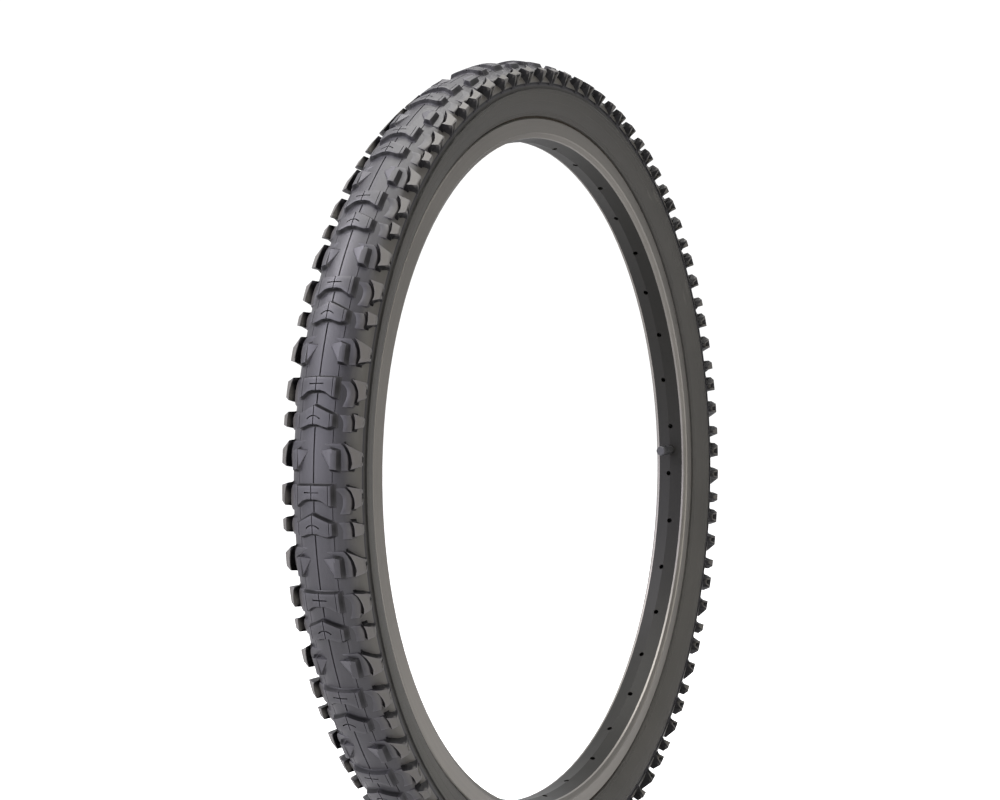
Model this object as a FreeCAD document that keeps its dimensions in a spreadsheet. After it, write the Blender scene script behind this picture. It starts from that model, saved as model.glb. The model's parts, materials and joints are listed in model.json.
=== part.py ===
"""Mountain bicycle tire, 54-559 (26 x 2.10), mounted on its drilled double-wall rim.

The wheel spins about Y. Its centre is the origin, +Z is up and +Y is the rider's left when +X is forward.
Ring sections are sketched with X as the radius and Y as the sideways place, then turned about Y.
"""
import FreeCAD, Part
import os

import Sketcher

DIMENSIONS = {
    # rim, all radii from the wheel's centre
    "bead_seat_radius": 279.5,
    "flange_radius": 286.0,
    "flange_inner_half": 14.35,
    "bed_radius": 276.0,
    "bed_half": 8.2,
    "seat_inner_half": 9.2,
    "crease_radius": 268.1,
    "inner_edge_radius": 270.5,
    "inner_edge_half": 13.45,
    "track_low_radius": 274.4,
    "track_high_radius": 285.2,
    "track_half": 15.95,
    "bed_wall": 1.2,
    "hub_wall": 1.5,
    "side_wall": 1.95,
    "spoke_count": 36,
    "spoke_hole_radius": 2.3,
    "spoke_access_radius": 4.3,
    "spoke_stagger": 1.55,
    "spoke_first_angle": 2.06,
    "valve_angle": 87.06,
    "valve_hole_radius": 4.25,
    "strip_thickness": 0.8,
    "strip_half": 8.0,
    "strip_hole_radius": 5.0,
    "sleeve_span": 5.4,
    "sleeve_gap": 0.4,
    # tire section: three arcs from the crown to the rim flange, each turned from the outward radius
    "crown_base_radius": 329.2,
    "crown_arc": 34.0,
    "crown_turn": 32.0,
    "side_arc": 17.0,
    "side_turn": 100.0,
    "flank_arc": 40.0,
    "flank_turn": 132.1,
    "tread_edge_turn": 88.0,
    "core_radius": 303.0,
    "rubber": 1.6,
    "ply": 0.6,
    "bead_ring_radius": 281.6,
    "bead_half": 11.5,
    "bead_bundle": 1.2,
    "chafer": 0.7,
    # tread pattern
    "pitch_count": 30,
    "pitch_start": -1.1,
    "knob_top_radius": 332.3,
    "knob_stock": 0.6,
    "knob_root": 7.0,
    "block_crown": 40.0,
    "block_crown_half": 18.5,
    "block_half": 14.6,
    "block_draft": 4.0,
    "bar_angle": 4.3,
    "chevron_angle": 0.74,
    "lug_angle": 8.0,
    "lug_tilt": 14.0,
    "lug_top_radius": 330.3,
    "lug_middle": 14.9,
    "lug_half_width": 2.35,
    "lug_half_length": 6.4,
    "long_angle": 8.5,
    "lag_left": 0.15,
    "lag_right": 0.5,
    "shoulder_tilt": 30.5,
    "shoulder_top_radius": 323.2,
    "shoulder_half": 27.5,
    "shoulder_width": 7.4,
    "shoulder_root": 11.0,
    "shoulder_draft": 3.0,
    # inner tube
    "tube_gap": 0.2,
    "tube_wall": 0.9,
    "tube_base_radius": 277.0,
    "patch_radius": 7.0,
    "patch_thickness": 0.5,
    # valve, measured along its own axis from the tube's outer surface towards the hub
    "stem_length": 30.0,
    "stem_radius": 3.0,
    "stem_foot_radius": 4.6,
    "stem_throat": 1.7,
    "stem_bore": 2.4,
    "throat_end": 11.5,
    "thread_radius": 3.85,
    "thread_start": 20.5,
    "rubber_radius": 4.0,
    "core_start": 14.5,
    "core_end": 28.5,
    "core_body_radius": 2.35,
    "core_chamber": 1.35,
    "core_floor": 19.0,
    "pin_guide": 0.65,
    "pin_radius": 0.6,
    "pin_head": 1.2,
    "pin_start": 12.6,
    "pin_end": 29.3,
    "pin_head_start": 26.6,
    "seal_start": 12.0,
    "seal_radius": 1.5,
    "core_ring_start": 20.0,
    "core_ring_length": 1.6,
    "core_ring_depth": 0.45,
    "spring_wire": 0.16,
    "spring_coil": 0.92,
    "spring_turns": 6,
    "cap_radius": 4.6,
    "cap_bore": 3.92,
    "cap_start": 21.0,
    "cap_inside_end": 31.3,
    "cap_end": 32.5,
    "cap_seal": 0.9,
    "cap_ribs": 18,
    "cap_rib_radius": 0.35,
}

doc = FreeCAD.newDocument("BicycleTire")
sheet = doc.addObject("Spreadsheet::Sheet", "Dim")
for row, (alias, number) in enumerate(DIMENSIONS.items(), start=1):
    sheet.set(f"A{row}", alias)
    sheet.set(f"B{row}", str(number))
    sheet.setAlias(f"B{row}", alias)
doc.recompute()

SUBPARTS = []
X_AXIS, Y_AXIS = FreeCAD.Vector(1, 0, 0), FreeCAD.Vector(0, 1, 0)
NEARLY_ZERO = 1e-9


def value(expression):
    """The number that an expression over the sheet gives."""
    result = sheet.evalExpression(str(expression))
    return float(getattr(result, "Value", result))


def minus(expression):
    return f"-({expression})"


def other_side(points):
    """An outline's points on the other side of the wheel's middle plane, in reverse order."""
    return [(x, minus(y)) for x, y in reversed(points)]


# ---- sketches and features -----------------------------------------------------------------------


def new_body(label):
    body = doc.addObject("PartDesign::Body", label)
    body.Label = label
    SUBPARTS.append(body)
    return body


def new_sketch(body, name, offset=None):
    """A sketch on the body's XY plane, or moved off it by a placement."""
    sketch = body.newObject("Sketcher::SketchObject", name)
    plane = next(f for f in body.Origin.OriginFeatures if f.Role == "XY_Plane")
    sketch.AttachmentSupport = [(plane, "")]
    sketch.MapMode = "FlatFace"
    if offset:
        sketch.AttachmentOffset = offset
    return sketch


def pin_point(sketch, edge, end, point):
    """Hold one end of an edge at a place given by two expressions."""
    for kind, along, axis in (("DistanceX", point[0], -2), ("DistanceY", point[1], -1)):
        if abs(value(along)) < NEARLY_ZERO:
            sketch.addConstraint(Sketcher.Constraint("PointOnObject", edge, end, axis))
        else:
            at = sketch.addConstraint(Sketcher.Constraint(kind, -1, 1, edge, end, value(along)))
            sketch.setExpression(f"Constraints[{at}]", str(along))


def draw_outline(sketch, points, arcs=None):
    """A closed outline through points, each a pair of expressions.

    arcs maps an edge's number to (radius, centre); every other edge is straight.
    """
    arcs = arcs or {}
    places = [FreeCAD.Vector(value(x), value(y), 0) for x, y in points]
    count, first = len(places), len(sketch.Geometry)
    starts, ends = [], []
    for index, start in enumerate(places):
        end = places[(index + 1) % count]
        if index in arcs:
            radius, (centre_x, centre_y) = arcs[index]
            centre = FreeCAD.Vector(value(centre_x), value(centre_y), 0)
            outward = ((start + end) * 0.5 - centre).normalize()
            middle = centre + outward * value(radius)
            # a sketch keeps every arc anticlockwise, so one that runs the other way is drawn backwards
            backwards = (middle - start).cross(end - middle).z < 0
            ends_in_turn = (end, middle, start) if backwards else (start, middle, end)
            edge = sketch.addGeometry(Part.Arc(*ends_in_turn), False)
        else:
            edge = sketch.addGeometry(Part.LineSegment(start, end), False)
            backwards = False
        starts.append(2 if backwards else 1)
        ends.append(1 if backwards else 2)
    for index, point in enumerate(points):
        edge, before = first + index, (index - 1) % count
        sketch.addConstraint(
            Sketcher.Constraint("Coincident", first + before, ends[before], edge, starts[index])
        )
        pin_point(sketch, edge, starts[index], point)
    for index, (radius, _) in arcs.items():
        at = sketch.addConstraint(Sketcher.Constraint("Radius", first + index, value(radius)))
        sketch.setExpression(f"Constraints[{at}]", str(radius))


def draw_circle(sketch, radius, centre=("0", "0")):
    place = FreeCAD.Vector(value(centre[0]), value(centre[1]), 0)
    edge = sketch.addGeometry(Part.Circle(place, FreeCAD.Vector(0, 0, 1), value(radius)), False)
    pin_point(sketch, edge, 3, centre)
    at = sketch.addConstraint(Sketcher.Constraint("Radius", edge, value(radius)))
    sketch.setExpression(f"Constraints[{at}]", str(radius))


def turned(body, name, sketch, kind="Revolution", angle="360"):
    """Turn a section about the sketch's vertical axis."""
    feature = body.newObject(f"PartDesign::{kind}", name)
    feature.Profile = sketch
    feature.ReferenceAxis = (sketch, ["V_Axis"])
    feature.setExpression("Angle", angle)
    sketch.Visibility = False
    return feature


def padded(body, name, sketch, length, kind="Pad", reversed_way=False, draft=None):
    feature = body.newObject(f"PartDesign::{kind}", name)
    feature.Profile = sketch
    feature.setExpression("Length", str(length))
    feature.Reversed = reversed_way
    if draft:
        feature.setExpression("TaperAngle", str(draft))
    sketch.Visibility = False
    return feature


def patterned(body, name, originals, count):
    """Repeat features evenly round the wheel's axis."""
    axis = next(f for f in body.Origin.OriginFeatures if f.Role == "Y_Axis")
    pattern = body.newObject("PartDesign::PolarPattern", name)
    pattern.Originals = originals
    pattern.Axis = (axis, [""])
    pattern.Angle = 360
    pattern.setExpression("Occurrences", count)
    body.Tip = pattern
    return pattern


def rim_place(angle, radius, tilt=0.0):
    """A plane square to the wheel's radius at an angle from the top, its X along the tire.

    tilt leans its normal towards +Y.
    """
    spin = FreeCAD.Rotation(Y_AXIS, value(angle))
    place = spin.multVec(FreeCAD.Vector(0, 0, value(radius)))
    lean = FreeCAD.Rotation(X_AXIS, -tilt)
    return FreeCAD.Placement(place, spin.multiply(lean))


# ---- the tire's section --------------------------------------------------------------------------

CROWN_CENTRE = ("Dim.crown_base_radius - Dim.crown_arc", "0")
SIDE_CENTRE = (
    f"{CROWN_CENTRE[0]} + (Dim.crown_arc - Dim.side_arc) * cos(Dim.crown_turn)",
    "(Dim.crown_arc - Dim.side_arc) * sin(Dim.crown_turn)",
)
FLANK_CENTRE = (
    f"{SIDE_CENTRE[0]} + (Dim.side_arc - Dim.flank_arc) * cos(Dim.side_turn)",
    f"{SIDE_CENTRE[1]} + (Dim.side_arc - Dim.flank_arc) * sin(Dim.side_turn)",
)


def on_arc(centre, radius, turn, depth):
    """A point on one of the section's arcs, sunk by depth under the tire's outer surface."""
    reach = f"(Dim.{radius} - ({depth}))"
    return (f"{centre[0]} + {reach} * cos({turn})", f"{centre[1]} + {reach} * sin({turn})")


def shoulder_point(depth):
    return on_arc(CROWN_CENTRE, "crown_arc", "Dim.crown_turn", depth)


def side_point(depth, turn="Dim.side_turn"):
    return on_arc(SIDE_CENTRE, "side_arc", turn, depth)


def flank_point(depth, turn="Dim.flank_turn"):
    return on_arc(FLANK_CENTRE, "flank_arc", turn, depth)


def flipped(centre):
    return (centre[0], minus(centre[1]))


def draw_layer(sketch, outer, inner, outer_tail, inner_tail, end_turn="Dim.flank_turn"):
    """A layer that runs from bead to bead between two depths, its tails given for the +Y side."""
    left_out = [shoulder_point(outer), side_point(outer), flank_point(outer, end_turn), *outer_tail]
    left_in = [*inner_tail, flank_point(inner, end_turn), side_point(inner), shoulder_point(inner)]
    points = left_out + left_in + other_side(left_in) + other_side(left_out)
    half, last = len(left_out), len(points) - 1
    inner_top = half + len(left_in) - 1
    arcs = {
        0: (f"Dim.side_arc - ({outer})", SIDE_CENTRE),
        1: (f"Dim.flank_arc - ({outer})", FLANK_CENTRE),
        inner_top - 2: (f"Dim.flank_arc - ({inner})", FLANK_CENTRE),
        inner_top - 1: (f"Dim.side_arc - ({inner})", SIDE_CENTRE),
        inner_top: (f"Dim.crown_arc - ({inner})", CROWN_CENTRE),
        inner_top + 1: (f"Dim.side_arc - ({inner})", flipped(SIDE_CENTRE)),
        inner_top + 2: (f"Dim.flank_arc - ({inner})", flipped(FLANK_CENTRE)),
        last - 2: (f"Dim.flank_arc - ({outer})", flipped(FLANK_CENTRE)),
        last - 1: (f"Dim.side_arc - ({outer})", flipped(SIDE_CENTRE)),
        last: (f"Dim.crown_arc - ({outer})", CROWN_CENTRE),
    }
    draw_outline(sketch, points, arcs)


# ---- carcass -------------------------------------------------------------------------------------

OUTER_PLY_TOP = "Dim.rubber"
OUTER_PLY_FLOOR = "Dim.rubber + Dim.ply"
INNER_PLY_FLOOR = "Dim.rubber + 2 * Dim.ply"
PLY_FOOT = "Dim.bead_seat_radius + 0.9"
PLY_OUTSIDE = "Dim.flange_inner_half - 0.85"


def make_outer_ply():
    """The ply that runs down outside each bead wire."""
    body = new_body("casing_ply_outer")
    sketch = new_sketch(body, "outer_ply_section")
    knee = "Dim.flange_radius + 0.9"
    inside = f"{PLY_OUTSIDE} - Dim.ply"
    outer_tail = [(knee, PLY_OUTSIDE), (PLY_FOOT, PLY_OUTSIDE)]
    inner_tail = [(PLY_FOOT, inside), (f"{knee} + 0.2", inside)]
    draw_layer(sketch, OUTER_PLY_TOP, OUTER_PLY_FLOOR, outer_tail, inner_tail)
    turned(body, "outer_ply_ring", sketch)


def make_inner_ply():
    """The ply that crosses over each bead wire and ends on its inner side."""
    body = new_body("casing_ply_inner")
    sketch = new_sketch(body, "inner_ply_section")
    inside = f"{PLY_OUTSIDE} - Dim.ply - 0.05"
    wire_inside = "Dim.bead_half - Dim.bead_bundle - 0.1"
    over_wire = "Dim.bead_ring_radius + Dim.bead_bundle + 0.1"
    outer_tail = [
        ("Dim.flange_radius + 1.1", inside),
        (f"{over_wire} + 0.7", "Dim.bead_half + 0.5"),
        (over_wire, wire_inside),
        (PLY_FOOT, wire_inside),
    ]
    inner_tail = [
        (PLY_FOOT, f"{wire_inside} - Dim.ply"),
        (f"{over_wire} + 0.4", f"{wire_inside} - Dim.ply"),
        (f"{over_wire} + 1.2", "Dim.bead_half - 0.05"),
        ("Dim.flange_radius + 1.5", f"{inside} - Dim.ply"),
    ]
    draw_layer(sketch, OUTER_PLY_FLOOR, INNER_PLY_FLOOR, outer_tail, inner_tail)
    turned(body, "inner_ply_ring", sketch)


def make_sidewall(label, side):
    """The rubber from the tread's edge down to the rim flange, on one side (+1 is left, +Y)."""
    body = new_body(label)
    sketch = new_sketch(body, "sidewall_section")
    top = "Dim.tread_edge_turn"
    lip = "Dim.flange_radius + 0.3"
    points = [
        side_point("0", top),
        side_point("0"),
        flank_point("0"),
        (lip, "Dim.track_half - 0.9"),
        (lip, "Dim.flange_inner_half - 0.75"),
        flank_point("Dim.rubber"),
        side_point("Dim.rubber"),
        side_point("Dim.rubber", top),
    ]
    side_centre, flank_centre = SIDE_CENTRE, FLANK_CENTRE
    if side < 0:
        points = [(x, minus(y)) for x, y in points]
        side_centre, flank_centre = flipped(SIDE_CENTRE), flipped(FLANK_CENTRE)
    arcs = {
        0: ("Dim.side_arc", side_centre),
        1: ("Dim.flank_arc", flank_centre),
        5: ("Dim.flank_arc - Dim.rubber", flank_centre),
        6: ("Dim.side_arc - Dim.rubber", side_centre),
    }
    draw_outline(sketch, points, arcs)
    turned(body, "sidewall_ring", sketch)


def make_chafer(label, side):
    """The strip that guards the ply against the rim, an angle in section."""
    body = new_body(label)
    sketch = new_sketch(body, "chafer_section")
    high, foot = "Dim.flange_radius + 0.2", "Dim.bead_seat_radius + 0.1"
    outside, toe = "Dim.flange_inner_half - 0.1", "Dim.seat_inner_half + 0.3"
    points = [
        (high, outside),
        (foot, outside),
        (foot, toe),
        (f"{foot} + Dim.chafer", toe),
        (f"{foot} + Dim.chafer", f"{outside} - Dim.chafer"),
        (high, f"{outside} - Dim.chafer"),
    ]
    if side < 0:
        points = [(x, minus(y)) for x, y in points]
    draw_outline(sketch, points)
    turned(body, "chafer_ring", sketch)


def make_bead_wire(label, side):
    """The wound steel wire bundle that holds one edge of the tire on the rim."""
    body = new_body(label)
    sketch = new_sketch(body, "bead_section")
    half = "Dim.bead_half" if side > 0 else minus("Dim.bead_half")
    draw_circle(sketch, "Dim.bead_bundle", ("Dim.bead_ring_radius", half))
    turned(body, "bead_ring", sketch)


# ---- tread ---------------------------------------------------------------------------------------


def pitch_sketch(body, name, turn_start):
    """A sketch of the section that stands at an angle from the top of the wheel."""
    # the sketch plane holds +X, a quarter turn past the top
    start = FreeCAD.Placement(FreeCAD.Vector(), FreeCAD.Rotation(Y_AXIS, value(turn_start) - 90))
    return new_sketch(body, name, start)


def tread_section(body, name, turn_start, turn_span, left, arcs_depth, kind="Revolution"):
    """Turn one part of the tread's section through an angle that starts at a place round the wheel."""
    section = pitch_sketch(body, f"{name}_section", turn_start)
    points = left + other_side(left)
    last = len(points) - 1
    arcs = {
        0: (f"Dim.side_arc - {arcs_depth}", SIDE_CENTRE),
        last - 1: (f"Dim.side_arc - {arcs_depth}", flipped(SIDE_CENTRE)),
        last: (f"Dim.crown_arc - {arcs_depth}", CROWN_CENTRE),
    }
    draw_outline(section, points, arcs)
    return turned(body, name, section, kind, angle=turn_span)


def make_tread_pitch():
    """One pitch of the tread: an arc of thin band with its knobs, open at both ends."""
    body = doc.addObject("PartDesign::Body", "tread_pitch")
    edge = "Dim.tread_edge_turn"
    edge_out, edge_in = side_point("0", edge), side_point("Dim.rubber", edge)
    span = "360 / Dim.pitch_count"
    filled = [shoulder_point("0"), edge_out, edge_in, ("Dim.core_radius", f"{edge_in[1]} - 3")]
    tread_section(body, "band", "Dim.pitch_start", span, filled, "0")
    centre_blocks(body)
    for side in (1, -1):
        lug(body, side)
    crown_the_blocks(body, "Dim.pitch_start - 1", f"{span} + 2")
    for side in (1, -1):
        shoulder_knobs(body, side)
    hollow = [shoulder_point("Dim.rubber"), edge_in, ("Dim.core_radius - 4", edge_in[1])]
    body.Tip = tread_section(
        body, "carcass_space", "Dim.pitch_start - 1", f"{span} + 2", hollow, "Dim.rubber", "Groove"
    )
    doc.recompute()
    return body.Shape


def is_cut_face(face):
    """True for the flat faces where a pitch ends, which hold the wheel's axis."""
    flat = face.Surface
    if flat.TypeId != "Part::GeomPlane":
        return False
    return abs(flat.Axis.y) < 1e-6 and abs(flat.Position.dot(flat.Axis)) < 1e-4


def make_tread():
    """The tread rubber: a thin band over the crown with thirty pitches of knobs moulded on it."""
    skin = [face for face in make_tread_pitch().Faces if not is_cut_face(face)]
    faces = []
    for pitch in range(round(value("Dim.pitch_count"))):
        for face in skin:
            copy = face.copy()
            copy.rotate(FreeCAD.Vector(), Y_AXIS, pitch * value("360 / Dim.pitch_count"))
            faces.append(copy)
    rubber = Part.makeCompound(faces)
    rubber.sewShape()
    tread = doc.addObject("Part::Feature", "tread")
    tread.Shape = Part.makeSolid(rubber.Shells[0])
    SUBPARTS.append(tread)


def knob(body, name, place, points, root, draft):
    """A block moulded down from its flat top, its sides drafted outwards."""
    sketch = new_sketch(body, f"{name}_top", place)
    draw_outline(sketch, points)
    padded(body, name, sketch, root, reversed_way=True, draft=draft)


def centre_blocks(body):
    """The two blocks across the crown in a pitch, each with an arched trailing edge."""
    half = "Dim.block_half"
    shapes = {
        # leading edge at the middle and at the end, then the trailing edge from the end to the middle
        "bar": ("Dim.bar_angle", (4.6, 4.1), [(-8.2, half), (-8.2, 12.0), (-4.5, 6.0)]),
        "chevron": ("Dim.chevron_angle", (6.4, 0.2), [(-5.8, half), (-7.6, 10.0), (-6.2, 4.5)]),
    }
    for name, (angle, (peak, corner), trailing_edge) in shapes.items():
        left = [(peak, 0), (corner, half), *trailing_edge]
        points = left + [(x, minus(y)) for x, y in reversed(left[1:])]
        place = rim_place(angle, "Dim.knob_top_radius + Dim.knob_stock")
        knob(body, name, place, points, "Dim.knob_root", "Dim.block_draft")


def on_side(side, points):
    """An outline drawn for the +Y side, or its mirror image for the other."""
    return points if side > 0 else [(x, minus(y)) for x, y in points]


def tilted_place(side, angle, radius, half, tilt):
    """A plane for a knob away from the middle, leaning out to its own side."""
    place = rim_place(angle, radius, side * value(tilt))
    place.Base.y = side * value(half)
    return place


def lug(body, side):
    """The lug beside the crown, which stands between the centre blocks of a pitch."""
    long, wide = "Dim.lug_half_length", "Dim.lug_half_width"
    points = [
        (long, minus(wide)),
        (f"{long} - 1.0", wide),
        (f"-0.5 - {long}", wide),
        (minus(long), minus(wide)),
    ]
    place = tilted_place(side, "Dim.lug_angle", "Dim.lug_top_radius", "Dim.lug_middle", "Dim.lug_tilt")
    name = "left_lug" if side > 0 else "right_lug"
    knob(body, name, place, on_side(side, points), "Dim.knob_root", "Dim.block_draft")


def crown_the_blocks(body, turn_start, turn_span):
    """Round the tops of the centre blocks and lugs to one arc across the tire."""
    section = pitch_sketch(body, "crown_section", turn_start)
    centre = "(Dim.knob_top_radius - Dim.block_crown)"
    half = "Dim.block_crown_half"
    edge = f"{centre} + sqrt(Dim.block_crown * Dim.block_crown - {half} * {half})"
    outside = "Dim.knob_top_radius + 5"
    points = [(edge, minus(half)), (outside, minus(half)), (outside, half), (edge, half)]
    draw_outline(section, points, {3: ("Dim.block_crown", (centre, "0"))})
    turned(body, "crown_cut", section, "Groove", turn_span)


def shoulder_knobs(body, side):
    """One side's three shoulder knobs in a pitch, wide towards the crown and narrow at the tip."""
    lag = "Dim.lag_left" if side > 0 else "Dim.lag_right"
    half_width = "Dim.shoulder_width / 2"
    shapes = {
        # (along the tire, in from the knob's inner line) for the two inner corners, then along it at the tip
        "square": ("Dim.bar_angle", (7.2, -2.0), (-7.6, 2.2), (5.0, -4.0)),
        "small": ("Dim.chevron_angle", (6.2, -0.5), (-5.0, 2.4), (2.6, -2.6)),
        "long": ("Dim.long_angle", (9.5, -3.5), (-8.0, 1.5), (3.6, -4.2)),
    }
    for kind, (angle, lead_in, trail_in, (lead_tip, trail_tip)) in shapes.items():
        place = tilted_place(
            side, f"{angle} - {lag}", "Dim.shoulder_top_radius", "Dim.shoulder_half", "Dim.shoulder_tilt"
        )
        points = [
            (lead_in[0], f"{lead_in[1]} - {half_width}"),
            (lead_tip, half_width),
            (trail_tip, half_width),
            (trail_in[0], f"{trail_in[1]} - {half_width}"),
        ]
        name = f"{kind}_left" if side > 0 else f"{kind}_right"
        knob(body, name, place, on_side(side, points), "Dim.shoulder_root", "Dim.shoulder_draft")


# ---- rim -----------------------------------------------------------------------------------------


def cavity_points(gap):
    """The +Y half of the hollow between the rim's two walls, drawn in by a gap."""
    under_bed = f"Dim.bed_radius - Dim.bed_wall - {gap}"
    under_seat = f"Dim.bead_seat_radius - Dim.bed_wall - {gap}"
    side = f"Dim.track_half - Dim.side_wall - {gap}"
    over_hub = f"Dim.crease_radius + Dim.hub_wall + {gap}"
    return [
        (under_bed, f"Dim.bed_half - 0.3 + {gap}"),
        (under_seat, f"Dim.seat_inner_half - 0.2 + {gap}"),
        (under_seat, side),
        ("Dim.track_low_radius + 0.6", side),
        (f"Dim.inner_edge_radius + Dim.hub_wall + 0.3 + {gap}", f"Dim.inner_edge_half - 1.2 - {gap}"),
        (over_hub, "0"),
    ]


def make_rim():
    body = new_body("rim")
    section = new_sketch(body, "rim_section")
    half = [
        ("Dim.bed_radius", "Dim.bed_half"),
        ("Dim.bead_seat_radius", "Dim.seat_inner_half"),
        ("Dim.bead_seat_radius", "Dim.flange_inner_half"),
        ("Dim.flange_radius", "Dim.flange_inner_half"),
        ("Dim.flange_radius", "Dim.track_half - 0.7"),
        ("Dim.track_high_radius", "Dim.track_half"),
        ("Dim.track_low_radius", "Dim.track_half"),
        ("Dim.track_low_radius - 0.9", "Dim.track_half - 0.9"),
        ("Dim.inner_edge_radius", "Dim.inner_edge_half"),
    ]
    draw_outline(section, half + [("Dim.crease_radius", "0")] + other_side(half))
    cavity = cavity_points("0")
    draw_outline(section, cavity + other_side(cavity[:-1]))
    turned(body, "rim_ring", section)
    doc.recompute()

    holes = []
    half_turn = value("Dim.spoke_first_angle") + 360 / value("Dim.spoke_count")
    for name, angle, side in (("right", "Dim.spoke_first_angle", -1), ("left", half_turn, 1)):
        stagger = "Dim.spoke_stagger" if side > 0 else minus("Dim.spoke_stagger")
        spoke = new_sketch(body, f"{name}_spoke_circle", rim_place(angle, "Dim.crease_radius + 4"))
        draw_circle(spoke, "Dim.spoke_hole_radius", ("0", stagger))
        holes.append(padded(body, f"{name}_spoke_hole", spoke, "8", "Pocket"))
        access = new_sketch(body, f"{name}_access_circle", rim_place(angle, "Dim.bed_radius - 2"))
        draw_circle(access, "Dim.spoke_access_radius", ("0", stagger))
        holes.append(padded(body, f"{name}_access_hole", access, "4", "Pocket", reversed_way=True))
    patterned(body, "all_spoke_holes", holes, "Dim.spoke_count / 2")

    valve = new_sketch(body, "valve_circle", rim_place("Dim.valve_angle", "Dim.bed_radius + 2"))
    draw_circle(valve, "Dim.valve_hole_radius")
    body.Tip = padded(body, "valve_hole", valve, "14", "Pocket")


def make_rim_sleeve():
    """The short insert in the rim's hollow that joins the ends of the rolled section."""
    body = new_body("rim_joint_sleeve")
    section = new_sketch(body, "sleeve_section")
    cavity = cavity_points("Dim.sleeve_gap")
    draw_outline(section, cavity + other_side(cavity[:-1]))
    turned(body, "sleeve_sweep", section, angle="Dim.sleeve_span")
    # the section starts on +X, a quarter turn from the top, so the sleeve is centred opposite the valve
    middle = value("Dim.valve_angle + 180 - 90 - Dim.sleeve_span / 2")
    body.Placement = FreeCAD.Placement(FreeCAD.Vector(), FreeCAD.Rotation(Y_AXIS, middle))


def make_rim_strip():
    """The rubber strip on the rim's bed that keeps the tube off the spoke holes."""
    body = new_body("rim_strip")
    section = new_sketch(body, "strip_section")
    low, high = "Dim.bed_radius", "Dim.bed_radius + Dim.strip_thickness"
    half = [(high, "Dim.strip_half"), (low, "Dim.strip_half")]
    draw_outline(section, half + other_side(half))
    turned(body, "strip_ring", section)
    valve = new_sketch(body, "valve_circle", rim_place("Dim.valve_angle", "Dim.bed_radius + 4"))
    draw_circle(valve, "Dim.strip_hole_radius")
    body.Tip = padded(body, "valve_hole", valve, "8", "Pocket")


# ---- tube and valve ------------------------------------------------------------------------------

# The valve's own Z runs from the tube's outer surface to the hub.
VALVE_PLACE = rim_place("Dim.valve_angle", "Dim.tube_base_radius")
VALVE_PLACE.Rotation = VALVE_PLACE.Rotation.multiply(FreeCAD.Rotation(X_AXIS, 180))


def new_valve_sketch(body, name):
    """A half section with the valve's axis upright: its radius is X and its height Z."""
    sketch = body.newObject("Sketcher::SketchObject", name)
    plane = next(f for f in body.Origin.OriginFeatures if f.Role == "XZ_Plane")
    sketch.AttachmentSupport = [(plane, "")]
    sketch.MapMode = "FlatFace"
    return sketch


def turned_valve_part(label, points):
    body = new_body(label)
    section = new_valve_sketch(body, f"{label}_section")
    draw_outline(section, points)
    turned(body, f"{label}_turned", section)
    body.Placement = VALVE_PLACE
    return body


def make_tube_and_patch():
    """The butyl tube, and the disc that bonds the valve to it, let into the tube's outer face."""
    body = doc.addObject("PartDesign::Body", "tube_ring")
    section = new_sketch(body, "tube_section")
    outer, inner = f"{INNER_PLY_FLOOR} + Dim.tube_gap", f"{INNER_PLY_FLOOR} + Dim.tube_gap + Dim.tube_wall"
    base, half = "Dim.tube_base_radius", "Dim.strip_half - 0.1"
    outer_tail = [("Dim.flange_radius + 2.2", "11.6"), ("Dim.flange_radius - 3", "9.0"), (base, half)]
    inner_tail = [
        (f"{base} + Dim.tube_wall", f"{half} - 0.8"),
        ("Dim.flange_radius - 2.3", "8.3"),
        ("Dim.flange_radius + 3.1", "10.9"),
    ]
    turn = "Dim.flank_turn - 6"
    left_out = [shoulder_point(outer), side_point(outer), flank_point(outer, turn), *outer_tail]
    draw_outline(section, left_out + other_side(left_out), tube_arcs(outer, len(left_out)))
    left_in = [shoulder_point(inner), side_point(inner), flank_point(inner, turn), *reversed(inner_tail)]
    draw_outline(section, left_in + other_side(left_in), tube_arcs(inner, len(left_in)))
    turned(body, "tube_turned", section)

    def radial_rod(name, radius, inside, outside):
        """A rod along the valve's axis between two heights above the tube's outer face."""
        rod = doc.addObject("Part::Cylinder", name)
        rod.setExpression("Radius", radius)
        rod.setExpression("Height", f"{outside} - ({inside})")
        rod.Placement = VALVE_PLACE.multiply(
            FreeCAD.Placement(FreeCAD.Vector(0, 0, value(inside)), FreeCAD.Rotation())
        )
        return rod

    def boolean(name, kind, base, tool):
        result = doc.addObject(f"Part::{kind}", name)
        result.Label = name
        result.Base = base
        result.Tool = tool
        return result

    rod = radial_rod("patch_rod", "Dim.patch_radius", minus("Dim.patch_thickness"), "1")
    tube_with_recess = boolean("tube_with_recess", "Cut", body, rod)
    stem_way = radial_rod("stem_way", "Dim.stem_foot_radius", "-2", "2")
    SUBPARTS.append(boolean("inner_tube", "Cut", tube_with_recess, stem_way))

    patch = new_body("valve_patch")
    disc = new_valve_sketch(patch, "patch_section")
    low, hole = minus("Dim.patch_thickness"), "Dim.stem_foot_radius"
    draw_outline(disc, [(hole, low), ("Dim.patch_radius", low), ("Dim.patch_radius", "0"), (hole, "0")])
    turned(patch, "patch_disc", disc)
    patch.Placement = VALVE_PLACE


def tube_arcs(depth, half):
    """The arcs of one face of the tube, for an outline that starts at the +Y shoulder."""
    last = 2 * half - 1
    return {
        0: (f"Dim.side_arc - ({depth})", SIDE_CENTRE),
        1: (f"Dim.flank_arc - ({depth})", FLANK_CENTRE),
        last - 2: (f"Dim.flank_arc - ({depth})", flipped(FLANK_CENTRE)),
        last - 1: (f"Dim.side_arc - ({depth})", flipped(SIDE_CENTRE)),
        last: (f"Dim.crown_arc - ({depth})", CROWN_CENTRE),
    }


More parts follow.
